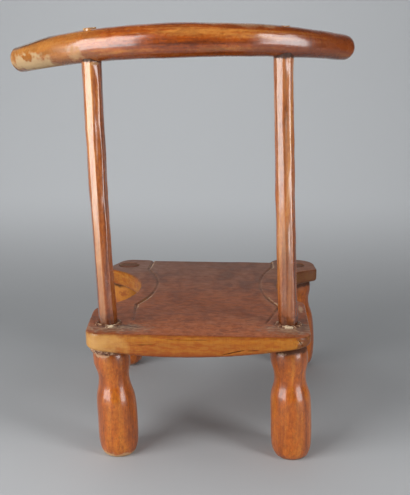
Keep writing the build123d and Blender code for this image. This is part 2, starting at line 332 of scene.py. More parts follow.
def crease_edges(piece, amount, runs_along):
    """Keeps the long edges of a whittled bar readable when it is rounded off."""
    places = [vertex.co for vertex in piece.data.vertices]
    marks = [runs_along(*(places[i] for i in edge.vertices)) for edge in piece.data.edges]
    with mesh_open(piece, "edges", marks):
        bpy.ops.transform.edge_crease(value=amount)


def turn_bar(name, rings, facets, turn, by_hand, wobble, twist, inset):
    """A faceted bar through (centre, radius) rings, extruded ring by ring, each a little off true."""
    centre, radius = rings[0]
    bpy.ops.mesh.primitive_circle_add(
        vertices=facets, radius=radius * MM, fill_type="NGON",
        location=centre * MM, rotation=(0, 0, radians(turn)),
    )
    piece = fresh(name)
    with mesh_open(piece):
        twisted = 0
        for (last_centre, last_radius), (centre, radius) in zip(rings, rings[1:]):
            bpy.ops.mesh.extrude_region_move(TRANSFORM_OT_translate={"value": (centre - last_centre) * MM})
            oval = 1 + by_hand.uniform(-wobble, wobble)
            growth = radius / last_radius
            bpy.ops.transform.resize(
                value=(growth * oval, growth / oval, 1), orient_type="GLOBAL", center_override=centre * MM
            )
            off = by_hand.uniform(-twist, twist)
            bpy.ops.transform.rotate(
                value=radians(off - twisted), orient_axis="Z", orient_type="GLOBAL",
                center_override=centre * MM,
            )
            twisted = off
        bpy.ops.mesh.inset(thickness=inset * MM)
    return close_shell(piece)


def per_vertex(vectors, name):
    """A mesh's places or normals, as one row of x, y and z for each vertex."""
    flat = np.empty(3 * len(vectors))
    vectors.foreach_get(name, flat)
    return flat.reshape(-1, 3)


def keep(piece, name, values):
    """Stores a number for every vertex, for the finish to read."""
    piece.data.attributes.new(name, "FLOAT", "POINT").data.foreach_set("value", values)


def hand_over(piece, paint, node):
    """Gives a piece its shading, its material and its body, and hides the imported solid that it stands for.
    """
    take(piece)
    bpy.ops.object.shade_smooth()
    piece.data.materials.clear()
    piece.data.materials.append(finish(paint))
    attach(piece, BODY)
    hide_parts(node)


# ---- Legs ----
def leg_middle(leg, height):
    """The middle of a leg's own line, at a height."""
    return Vector((*leg.foot, 0)).lerp(Vector((*leg.top, SEAT_TOP)), height / SEAT_TOP)


def carve_leg(name):
    leg = LEGS[name]
    profile = [*FEET[name.split("_")[0]], *BULGE]
    profile += [(radius + leg.head * (rise > 0), leg.neck + rise) for radius, rise in SHOULDER]
    profile += [(LEG_TENON_RADIUS, profile[-1][1] + 1), (LEG_TENON_RADIUS, TENON_TOP)]
    rings = []
    for radius, height in profile:
        centre = leg_middle(leg, height)
        if height < leg.neck + SHOULDER[-1][1]:
            centre.x += leg.bow * sin(pi * min(max(height / (LEG_BOW_REACH * leg.neck), 0), 1))
            radius *= LEG_FULLNESS
        rings.append((centre, radius))
    by_hand = random.Random(leg.seed)
    piece = turn_bar("carved_leg_" + name, rings, LEG_FACETS, leg.turn, by_hand, *LEG_WOBBLE)
    crease_edges(piece, 0.33, lambda a, b: abs((a - b).normalized().z) > 0.6)
    round_off(piece, settings().smoothing)
    shift = SEED_STEP * leg.seed
    roughen(piece, 26 * MM, 1.2 * MM, (1, 1, 2.4), (shift, 0, 0))
    roughen(piece, 8 * MM, 0.8 * settings().tool_marks, (1, 1, 4), (0, shift, 0))
    slice_off(piece, (0, 0, 0), (0, 0, -1))
    hand_over(close_shell(piece), varnished_leg_hardwood, "leg_" + name)


# ---- Posts ----
def post_tip(side):
    """The middle of the post's upper end."""
    post = POSTS[side]
    foot, top = Vector((*post.foot, SEAT_TOP)), Vector(post.top)
    return foot.lerp(top, (post.end - SEAT_TOP) / (top.z - SEAT_TOP))


def facing(piece, directions):
    """How squarely each vertex faces the nearest of some (degrees about Z from +Y, strength) directions."""
    normals = per_vertex(piece.data.vertex_normals, "vector")
    best = np.zeros(len(normals))
    for turn, strength in directions:
        square = normals @ (-sin(radians(turn)), cos(radians(turn)), 0)
        best = np.maximum(best, strength * np.clip((square - 0.9) / 0.08, 0, 1))
    return best


def whittle_post(side):
    post = POSTS[side]
    foot, top, tip = Vector((*post.foot, SEAT_TOP - POST_SINK)), Vector(post.top), post_tip(side)
    rings = []
    for radius, share in SHAFT_FOOT + SHAFTS[side]:
        centre = foot.lerp(top, share)
        centre.x += post.bow * sin(pi * share)
        rings.append((centre, radius))
    shaft_end = foot.lerp(top, SHAFT_TOP)
    rings += [
        (shaft_end, rings[-1][1] * 0.97),
        (shaft_end + Vector((0, 0, 1)), POST_TENON_RADIUS),
        (tip - Vector((0, 0, 1.2)), POST_TENON_RADIUS),
        (tip, POST_TENON_RADIUS * 0.85),
    ]
    by_hand = random.Random(post.seed)
    piece = turn_bar("whittled_post_" + side, rings, POST_FACETS, post.turn, by_hand, *POST_WOBBLE)
    crease_edges(piece, 0.47, lambda a, b: abs((a - b).normalized().z) > 0.8)
    round_off(piece, settings().smoothing + 1)
    shift = SEED_STEP * post.seed
    roughen(piece, 14 * MM, 2 * MM, (1, 1, 3.5), (shift, 0, 0))
    roughen(piece, 5 * MM, settings().tool_marks, (1, 1, 5), (0, shift, 0))
    # how squarely each vertex faces the softboxes, for the painted highlight
    keep(piece, "rubbed", facing(piece, post.rubbed))
    hand_over(piece, varnished_post_hardwood, "post_" + side)


# ---- Crest rail ----
def rail_half_sizes(angle):
    side = "left" if angle > 0 else "right"
    thinning = min(abs(angle) / RAIL_ANGLE[side], 1) ** RAIL_TAPER_POWER
    return [(full - (full - end) * thinning) / 2 for full, end in zip(RAIL_SIZE, RAIL_END_SIZE[side])]


def rail_sections():
    """(angle, half depth, half height) from the right end to the left one, caps included."""
    right = [(-(RAIL_ANGLE["right"] + past), share) for share, past in reversed(RAIL_CAP["right"])]
    left = [(RAIL_ANGLE["left"] + past, share) for share, past in RAIL_CAP["left"]]
    first, last = right[-1][0], left[0][0]
    between = [(first + (last - first) * step / (2 * RAIL_STEPS), 1) for step in range(1, 2 * RAIL_STEPS)]
    stations = right + between + left
    return [(angle, *(share * half for half in rail_half_sizes(angle))) for angle, share in stations]


def rail_tilt():
    return Matrix.Rotation(radians(RAIL_TILT), 4, "X") @ Matrix.Rotation(radians(RAIL_LEAN), 4, "Y")


def flat_facing():
    """Where the adzed flat of the rail's left end faces."""
    return rail_tilt().to_3x3() @ Vector(FLAT_FACING)


def bend_rail():
    """Sweeps an oval round the bend, section by section, then tips the whole bend into place."""
    sections = rail_sections()
    start, *last = sections[0]
    here = Vector((0, RAIL_RADIUS * MM, 0))
    bpy.ops.mesh.primitive_circle_add(
        vertices=RAIL_FACETS, radius=1, fill_type="NGON", location=here, rotation=(0, radians(90), 0)
    )
    piece = fresh("bent_crest_rail")
    by_hand = random.Random(31)
    with mesh_open(piece):
        bpy.ops.transform.resize(value=(1, last[0] * MM, last[1] * MM), center_override=here)
        turned = 0
        for angle, *half in sections[1:]:
            bpy.ops.mesh.extrude_region_move()
            bpy.ops.transform.rotate(
                value=radians(angle - start - turned), orient_axis="Z", orient_type="GLOBAL",
                center_override=(0, 0, 0),
            )
            turned = angle - start
            along = Matrix.Rotation(-radians(turned), 3, "Z")
            off = 1 + by_hand.uniform(-0.01, 0.01)
            bpy.ops.transform.resize(
                value=(1, half[0] / last[0] * off, half[1] / last[1] / off),
                orient_type="GLOBAL",
                orient_matrix=along,
                orient_matrix_type="GLOBAL",
                center_override=along @ here,
            )
            last = half
    crown_back = Matrix.Rotation(-radians(start), 4, "Z")
    to_crown = Matrix.Translation((0, -RAIL_RADIUS * MM, 0))
    piece.matrix_world = Matrix.Translation(Vector(RAIL_CROWN) * MM) @ rail_tilt() @ to_crown @ crown_back
    return close_shell(fresh("bent_crest_rail"))


def along_rail(a, b):
    """True for an edge that runs round the bend."""
    out = (a + b) / 2 - (Vector(RAIL_CROWN) - Vector((0, RAIL_RADIUS, 0))) * MM
    run = (a - b).normalized()
    out.z = 0
    out.normalize()
    return abs(out.x * run.y - out.y * run.x) > 0.8


def shape_rail():
    piece = bend_rail()
    crease_edges(piece, 0.24, along_rail)
    round_off(piece, settings().smoothing)
    roughen(piece, 34 * MM, 2.2 * MM, (2.2, 1.2, 1), (0.03, 0, 0.01))
    roughen(piece, 9 * MM, 0.6 * settings().tool_marks, (4, 2, 1))
    slice_off(piece, (Vector(RAIL_CROWN) + flat_facing() * FLAT_REACH) * MM, flat_facing())
    hand_over(close_shell(piece), varnished_bent_branch, "crest_rail")
    bpy.ops.object.shade_smooth_by_angle(angle=radians(FLAT_CREASE))


# ---- Seat ----
def groove_line(side):
    """Points along a groove, in metres."""
    front, turn, deepest, rear, end = map(np.array, GROOVES[side])
    # the centre of the circle through the three points of the bend
    chords = 2 * np.array([deepest - turn, rear - turn])
    centre = np.linalg.solve(chords, [deepest @ deepest - turn @ turn, rear @ rear - turn @ turn])
    first, last = (np.arctan2(*(point - centre)[::-1]) for point in (turn, rear))
    last = first + (last - first + pi) % (2 * pi) - pi
    angles = np.linspace(first, last, GROOVE_STEPS)
    bend = centre + np.linalg.norm(turn - centre) * np.stack([np.cos(angles), np.sin(angles)], axis=1)
    return np.vstack([front, bend, end]) * MM


def off_groove(points):
    """How far each point lies from the nearest groove, negative on the sitter's left of it."""
    best = np.full(len(points), 1.0)
    for side in GROOVES:
        line = groove_line(side)
        for start, end in zip(line, line[1:]):
            run = end - start
            share = np.clip((points - start) @ run / (run @ run), 0, 1)
            gap = points - (start + share[:, None] * run)
            length = np.linalg.norm(gap, axis=1)
            best = np.where(length < abs(best), np.where(gap[:, 0] > 0, -length, length), best)
    return best


def pressure(points):
    """How hard the knife was pressed in at each point."""
    return np.interp(points[:, 1], np.array(PRESSURE_AT) * MM, PRESSURE)


def add_splits():
    """Thin lens-shaped blades that open the drying splits in the rear face."""
    blades = []
    for x, z, length, thickness, climb in SPLITS:
        bpy.ops.mesh.primitive_uv_sphere_add(
            segments=16,
            ring_count=8,
            radius=1,
            location=(x * MM, SEAT_REAR_Y * MM, z * MM),
            rotation=(0, radians(climb), 0),
            scale=(length / 2 * MM, SPLIT_REACH * MM, thickness / 2 * MM),
        )
        blades.append(fresh("split"))
    for blade in blades:
        blade.select_set(True)
    bpy.ops.object.join()
    return bpy.context.object


def deepen_grooves(piece):
    """Presses the top down along the grooves."""
    places = per_vertex(piece.data.vertices, "co")
    depth = np.clip(1 - abs(off_groove(places[:, :2])) / (GROOVE_HALF * MM), 0, 1) * pressure(places)
    depth[places[:, 2] < (SEAT_TOP - GROOVE_SKIN) * MM] = 0
    group = piece.vertex_groups.new(name="groove")
    for index in np.flatnonzero(depth):
        group.add([int(index)], float(depth[index]), "REPLACE")
    deeper_by = settings().groove_depth
    modify(piece, "DISPLACE", direction="Z", vertex_group=group.name, mid_level=0, strength=-deeper_by)
    piece.vertex_groups.clear()


def drop_flaps(piece):
    """Deletes the slivers that a cut can leave: pairs of faces that lie back to back."""
    with mesh_open(piece):
        bpy.ops.mesh.quads_convert_to_tris()
    corners = [frozenset(face.vertices) for face in piece.data.polygons]
    repeated = Counter(corners)
    with mesh_open(piece, "polygons", [repeated[corner] > 1 for corner in corners]):
        bpy.ops.mesh.delete(type="FACE")
        bpy.ops.mesh.select_all(action="SELECT")
        bpy.ops.mesh.delete_loose()


def carve_seat():
    """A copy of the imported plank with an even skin, then grooved, adzed and split."""
    take(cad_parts["seat"])
    bpy.ops.object.duplicate()
    piece = bpy.context.object
    for key in list(piece.keys()):
        del piece[key]
    piece.parent = None
    piece.name = piece.data.name = "carved_seat"
    close_shell(piece)
    modify(piece, "REMESH", mode="VOXEL", voxel_size=settings().seat_detail)
    modify(piece, "SMOOTH", factor=0.5, iterations=1)
    deepen_grooves(piece)
    roughen(piece, 75 * MM, settings().seat_wave, (1.6, 1, 1))
    roughen(piece, 15 * MM, 0.9 * settings().tool_marks, (2.4, 1, 1))
    modify(piece, "DECIMATE", ratio=SEAT_KEPT)
    blades = add_splits()
    modify(piece, "BOOLEAN", operation="DIFFERENCE", solver="EXACT", object=blades)
    bpy.data.objects.remove(blades)
    drop_flaps(close_shell(piece))
    places = per_vertex(piece.data.vertices, "co")
    beside, pressed = off_groove(places[:, :2]) / MM, pressure(places)
    for name, middle, half, power in GROOVE_LINES:
        in_line = np.clip(GROOVE_LINE_EDGE * (1 - abs(beside - middle) / half), 0, 1)
        keep(piece, name, in_line * pressed**power)
    keep(piece, "upward", per_vertex(piece.data.vertex_normals, "vector")[:, 2])
    hand_over(piece, worn_seat_hardwood, "seat")


# ---- Wedges and filler ----
def drive_wedge(name, centre, length, thickness, slope):
    """A split wedge, driven home: only its hammered top shows, a hair above the tenon."""
    bpy.ops.mesh.primitive_cube_add(
        size=1, location=[c * MM for c in centre], scale=(length * MM, thickness * MM, WEDGE_DEPTH * MM)
    )
    piece = fresh("driven_" + name)
    with mesh_open(piece):
        bpy.ops.mesh.bevel(offset=0.4 * MM, segments=2, affect="EDGES")
        bpy.ops.mesh.subdivide(number_cuts=2)
    top = (centre[2] + WEDGE_DEPTH / 2) * MM
    slice_off(piece, (centre[0] * MM, 0, top - abs(slope) * length / 2 * MM), (slope, 0, 1))
    roughen(piece, 3 * MM, 0.4 * MM)
    hand_over(close_shell(piece), bare_end_grain, name)


def roll_filler(name, centre, radius, thickness, segments):
    """A ring of filler, rolled between the hands."""
    bpy.ops.mesh.primitive_torus_add(
        location=[c * MM for c in centre],
        major_segments=segments,
        minor_segments=14,
        major_radius=radius * MM,
        minor_radius=thickness / 2 * MM,
    )
    return fresh("thumbed_filler_" + name)


def pack_filler(side):
    """A lumpy collar of filler, thumbed round the foot of a post and mostly rubbed away."""
    x, y = POSTS[side].foot
    piece = roll_filler(side, (x, y, SEAT_TOP - 0.8), 14.8, 7.6, 64)
    with mesh_open(piece):
        bpy.ops.mesh.subdivide(number_cuts=1)
        bpy.ops.transform.resize(value=(1, 1, 0.7), center_override=(x * MM, y * MM, SEAT_TOP * MM))
    shift = SEED_STEP * POSTS[side].seed
    roughen(piece, 11 * MM, 4.2 * MM, (1, 1, 1), (shift, 0, 0))
    roughen(piece, 3.2 * MM, 1.3 * MM, (1, 1, 1), (0, shift, 0))
    slice_off(piece, (0, 0, (SEAT_TOP - 2.5) * MM), (0, 0, -1))
    hand_over(close_shell(piece), dried_wood_filler, "filler_post_" + side)


def pack_leg_filler():
    """A crescent of filler pressed up between the rear left leg and the plank."""
    centre = leg_middle(LEGS["rear_left"], LEG_FILLER_HEIGHT)
    piece = roll_filler("leg", centre, 26, 6, 80)
    slice_off(piece, centre * MM, (-0.55, -1, 0), nearness=0.1 * MM)
    with mesh_open(piece):
        bpy.ops.mesh.subdivide(number_cuts=1)
    roughen(piece, 9 * MM, 3.4 * MM)
    roughen(piece, 3 * MM, 1 * MM)
    hand_over(close_shell(piece), dried_wood_filler, "filler_leg_rear_left")


# ---- Patterns ----
def feed(node, inputs):
    """Sets inputs in socket order, or by socket in a dict: each is a value or another node's output."""
    for socket, value in inputs.items() if isinstance(inputs, dict) else enumerate(inputs):
        if isinstance(value, bpy.types.NodeSocket):
            node.id_data.links.new(value, node.inputs[socket])
        else:
            node.inputs[socket].default_value = value


def add(where, kind, inputs=(), out=0, stops=(), **setup):
    """Adds a node of a kind, or a kind and operation, beside a socket or to a tree; returns an output."""
    kind, *operation = kind.split()
    node = where.id_data.nodes.new("ShaderNode" + kind)
    if operation:
        node.operation = operation[0]
    for name, value in setup.items():
        setattr(node, name, value)
    for index, (position, colour) in enumerate(stops):
        elements = node.color_ramp.elements
        element = elements[index] if index < len(elements) else elements.new(position)
        element.position, element.color = position, rgba(colour)
    feed(node, inputs)
    return node.outputs[out] if node.outputs else node


def finish(paint):
    """The material that a paint function makes: it is named after the function and made only once."""
    name = paint.__name__
    if name not in bpy.data.materials:
        material = bpy.data.materials.new(name)
        material.use_nodes = True
        tree = material.node_tree
        tree.nodes.clear()
        surface = add(tree, "BsdfPrincipled")
        add(tree, "OutputMaterial", {"Surface": surface})
        paint(surface.node, add(tree, "TexCoord", out="Object"))
    return bpy.data.materials[name]


def grain(place, lengths, detail=3, warp=0, seed=0):
    """Cells of the given x, y and z lengths in millimetres, from 0 to 1."""
    scale = [1 / (length * MM) for length in lengths]
    spread = add(place, "Mapping", {"Vector": place, "Scale": scale, "Location": [seed] * 3})
    return add(place, "TexNoise", {"Vector": spread, "Scale": 1, "Detail": detail, "Distortion": warp})


def specks(place, lengths, low, high, detail=3, warp=0, seed=0, least=0, most=1):
    """Grain made crisper: least where it is below low, most where it is above high."""
    cells = grain(place, lengths, detail, warp, seed)
    return add(place, "MapRange", (cells, low, high, least, most))


def patch(place, centre, reach, fray=0.5, lump=9, edge=0.25):
    """1 inside a frayed oval patch and 0 outside it; centre and reach in millimetres."""
    scale = [1 / (r * MM) for r in reach]
    shift = [-c / r for c, r in zip(centre, reach)]
    local = add(place, "Mapping", {"Vector": place, "Scale": scale, "Location": shift})
    away = add(place, "VectorMath LENGTH", [local], out="Value")
    fraying = specks(place, [lump] * 3, 0.25, 0.75, 4, least=-fray, most=fray)
    frayed = add(place, "Math ADD", (away, fraying))
    return add(place, "MapRange", (frayed, 1 - edge, 1 + edge, 1, 0), interpolation_type="SMOOTHSTEP")


def band(place, axis, start, full, fray, lump=9):
    """0 on one side of start and 1 past full, measured along an axis in millimetres, with a ragged edge."""
    along = add(place, "SeparateXYZ", [place], out=axis)
    fraying = specks(place, [lump] * 3, 0.3, 0.7, 4, least=-fray * MM, most=fray * MM)
    level = add(place, "Math ADD", (along, fraying))
    low, high = sorted((start, full))
    ends = (0, 1) if full > start else (1, 0)
    return add(place, "MapRange", (level, low * MM, high * MM, *ends), interpolation_type="SMOOTHSTEP")


def widest(joined, *masks):
    """The largest of several masks."""
    for mask in masks:
        joined = add(mask, "Math MAXIMUM", (joined, mask))
    return joined


def stain(body, *layers):
    """Lays (mask, strength, colour) layers over a colour, one after another."""
    for mask, strength, colour in layers:
        amount = add(body, "Math MULTIPLY", (mask, strength))
        body = add(body, "Mix", {0: amount, 6: body, 7: rgba(colour)}, out=2, data_type="RGBA")
    return body


def streaky_wood(place, along, shades, seed=0):
    """Streaky wood in a dark, a mid and a light shade; along is the number of the grain's axis."""

    def cell(across, length):
        lengths = [across] * 3
        lengths[along] = length
        return lengths

    streak = None
    for share, lengths, detail in ((0.5, cell(16, 190), 3), (0.3, cell(3.4, 80), 3), (0.2, cell(2.6, 6), 2)):
        cells = add(place, "Math MULTIPLY", (grain(place, lengths, detail, 0.3, seed + share), share))
        streak = cells if streak is None else add(place, "Math ADD", (streak, cells))
    body = add(place, "ValToRGB", [streak], stops=zip((0.36, 0.5, 0.63), shades))
    dark = shades[0]
    blotch = specks(place, cell(34, 60), 0.45, 0.75, 2, 0.6, seed + 7)
    # pores are drawn about twice as coarse as real ones, so that they still show from a step away
    pores = specks(place, cell(1.5, 12), 0.62, 0.72, 2, 0, seed + 11)
    return stain(body, (blotch, 0.25, dark), (pores, 0.35, deeper(dark, 0.35))), streak, pores


def varnish(shader, place, body, streak, pores, gloss, dull, coat):
    """Brushed varnish over wood: gloss with a faint waviness, gone matt and gritty where dull says so."""
    scuff = specks(place, (12, 12, 12), 0.35, 0.75, 5, least=gloss, most=gloss + 0.12)
    matt = add(place, "Math MULTIPLY", (dull, 0.45))
    ripple = add(place, "Math ADD", (streak, grain(place, (7, 7, 16), 1)))
    grit = add(place, "Math MULTIPLY", (dull, grain(place, (1.8, 1.8, 1.8), 3)))
    grit = add(place, "Math MULTIPLY", (grit, 3))
    height = add(place, "Math ADD", (add(place, "Math SUBTRACT", (ripple, pores)), grit))
    bare = add(place, "Math SUBTRACT", (1, dull))
    bumps = add(place, "Bump", {"Height": height, "Distance": 0.25 * MM, "Strength": 0.6})
    rough = add(place, "Math ADD", (scuff, matt))
    feed(shader, {"Base Color": body, "Roughness": rough, "IOR": 1.5, "Normal": bumps})
    feed(shader, {"Coat Weight": add(place, "Math MULTIPLY", (bare, coat)), "Coat Roughness": 0.14})


def leave_matt(shader, body, roughness, crumbs=None, depth=0):
    """A dry surface, with crumbs of depth millimetres where there are any."""
    feed(shader, {"Base Color": body, "Roughness": roughness})
    if crumbs:
        feed(shader, {"Normal": add(body, "Bump", {"Height": crumbs, "Distance": depth * MM})})


# ---- Finishes: each is a material of that name ----
def varnished_leg_hardwood(shader, place):
    """Varnished hardwood, whittled: warm orange-brown with faint streaks, and a wet-looking gloss."""
    body, streak, pores = streaky_wood(place, 2, tones("leg"))
    broken = (band(place, "Z", 8.5, 5, 3.5, 12), patch(place, (88, 196, 0), (40, 30, 40), 0.2))
    rim = widest(add(place, "Math MULTIPLY", broken), band(place, "Z", 1.6, 0.6, 1))
    crust = patch(place, (104, 197, 157), (15, 10, 4), 0.7, 4)
    # a dark joint with painted shade, where the head meets the seat's underside
    dark_joint_and_shade = band(place, "Z", 157, 162, 2)
    shaded = patch(place, (121, -142, 160), (34, 20, 34), 0.2)
    body = stain(
        body,
        (specks(place, (9, 9, 14), 0.42, 0.66, 4, 0.6, 9), 0.35, "#7e3c12"),
        (specks(place, (2.4, 2.4, 3.6), 0.5, 0.66, 3, 0.3, 5), 0.3, "#5e2a0e"),
        # painted shade on the neck and head, under the seat
        (band(place, "Z", 134, 164, 6), 0.45, "#6a3210"),
        (shaded, 0.85, "#be782a"),
        (patch(place, (129, -136, 147), (8, 14, 5), 0.9, 3, 0.5), 0.6, "#84300c"),
        (band(place, "Z", 4.5, 1, 2), 0.6, "#4a2410"),
        (rim, 0.75, colours().bare_wood),
        (dark_joint_and_shade, 0.8, "#2c140a"),
        (crust, 0.7, colours().filler),
        (patch(place, (-146, 192, 160), (5, 6, 2), 0.8, 3), 0.5, colours().filler),
        (band(place, "Z", 188, 194, 0.5), 0.9, "#6a4230"),
    )
    varnish(shader, place, body, streak, pores, 0.29, widest(rim, crust, dark_joint_and_shade, shaded), 0.6)


def varnished_post_hardwood(shader, place):
    """The same hardwood in long whittled bars: browner, with a bright gloss, and a painted highlight on the
    facets that face the softboxes.
    """
    body, streak, pores = streaky_wood(place, 2, tones("post"), 20)
    joints = (108, 179, 558), (-140, 169, 563)
    # dark joints with painted shade under the rail; the posts also darken towards the foot
    rail_joint_and_shade = widest(*(patch(place, joint, (26, 26, 7), 0.2, 4, 0.2) for joint in joints))
    dark_post_ends = widest(rail_joint_and_shade, band(place, "Z", 216, 199, 8))
    flaked = patch(place, (99, 190, 550), (7, 6, 2), 0.9, 3.5)
    # the facets that face the softboxes get a painted highlight, broken up a little
    rubbed = add(place, "Attribute", attribute_name="rubbed", out="Fac")
    uneven = specks(place, (8, 8, 60), 0.3, 0.65, 4, 0.4, 33, least=0.25)
    rubbed = add(place, "Math MULTIPLY", (rubbed, uneven))
    body = stain(
        body,
        # painted highlight on the facets that face the softboxes
        (rubbed, 0.55, "#dfa974"),
        (band(place, "Z", 330, 215, 30, 30), 0.45, "#6e2c0e"),
        # painted shade at the joints under the rail, and darker towards the foot
        (dark_post_ends, 0.7, "#3c1a0c"),
        (rail_joint_and_shade, 0.8, "#220e06"),
        (flaked, 0.5, colours().bare_wood),
        (band(place, "Z", 587, 590, 0.5), 0.7, "#a87d50"),
    )
    varnish(shader, place, body, streak, pores, 0.18, widest(flaked, rail_joint_and_shade), 1)


def varnished_bent_branch(shader, place):
    """A bent branch, scraped and varnished: the grain follows the bend, and one end is rubbed bare."""
    # unroll the bend, so that streaks run along the bar
    level = add(place, "VectorMath ADD", (place, [-c * MM for c in RAIL_CROWN]))
    tilt = {"Vector": level, "Rotation": (radians(RAIL_TILT), radians(RAIL_LEAN), 0)}
    upright = add(place, "VectorRotate", tilt, rotation_type="EULER_XYZ", invert=True)
    across, inward, rise = (add(place, "SeparateXYZ", [upright], out=axis) for axis in "XYZ")
    inward = add(place, "Math ADD", (inward, RAIL_RADIUS * MM))
    turn = add(place, "Math ARCTAN2", (across, inward))
    spoke = add(place, "CombineXYZ", {"X": across, "Y": inward})
    along = add(place, "Math MULTIPLY", (turn, RAIL_RADIUS * MM))
    out = add(place, "VectorMath LENGTH", [spoke], out="Value")
    unrolled = add(place, "CombineXYZ", (along, out, rise))
    body, streak, pores = streaky_wood(unrolled, 0, tones("rail"), 40)
    rubbed = patch(place, (206, 142, 552), (43, 40, 11), 0.55, 9, 0.3)
    island = patch(place, (203, 144, 558), (12, 14, 5), 0.5, 6, 0.2)
    rubbed = add(place, "Math SUBTRACT", (rubbed, island), use_clamp=True)
    under = patch(place, (180, 153, 546), (40, 36, 4), 0.5, 12, 0.5)
    outward = add(place, "VectorMath DOT_PRODUCT", (level, flat_facing()), out="Value")
    flat_cut = add(place, "MapRange", (outward, (FLAT_REACH - 0.25) * MM, (FLAT_REACH - 0.1) * MM))
    # painted shade along the edge of the adzed flat
    brow_shade = add(place, "MapRange", (outward, (FLAT_REACH - 2.6) * MM, (FLAT_REACH - 1.2) * MM))
    comma = patch(place, (129, 190, 561), (9, 9, 9), 0.8, 7, 0.5)
    # growth lines, where a side branch was
    waves = {
        "Vector": unrolled, "Scale": 1 / (9 * MM) / 6.28, "Distortion": 2.5, "Detail": 2, "Detail Scale": 0.6
    }
    lines = add(place, "TexWave", waves, bands_direction="X", out="Fac")
    lines = add(place, "MapRange", (lines, 0.8, 0.95, 0, 1))
    knot = add(place, "Math MULTIPLY", (lines, patch(place, (-181, 167, 577), (11, 14, 12), 0.4)))
    body = stain(
        body,
        (specks(unrolled, (26, 11, 9), 0.46, 0.66, 5, 0.8, 45), 0.5, "#6a300e"),
        (band(unrolled, "X", -50, -170, 20, 40), 0.6, "#6c300c"),
        (band(unrolled, "X", 60, 170, 25, 40), 0.5, "#b9803c"),
        # painted shade, darker towards the underside of the rail
        (band(unrolled, "Z", -7, -17, 2, 30), 0.5, "#55230f"),
        (knot, 0.35, "#4f2010"),
        (patch(place, (-70, 190, 598), (60, 16, 5), 0.7, 20, 0.5), 0.45, colours().bare_wood),
        (under, 0.5, "#b39468"),
        (brow_shade, 0.75, "#4c2812"),
        (flat_cut, 0.75, "#a48a5c"),
        (rubbed, 0.8, "#bb9f76"),
        (comma, 0.5, colours().bare_wood),
    )
    varnish(shader, place, body, streak, pores, 0.22, widest(rubbed, comma, under), 1)


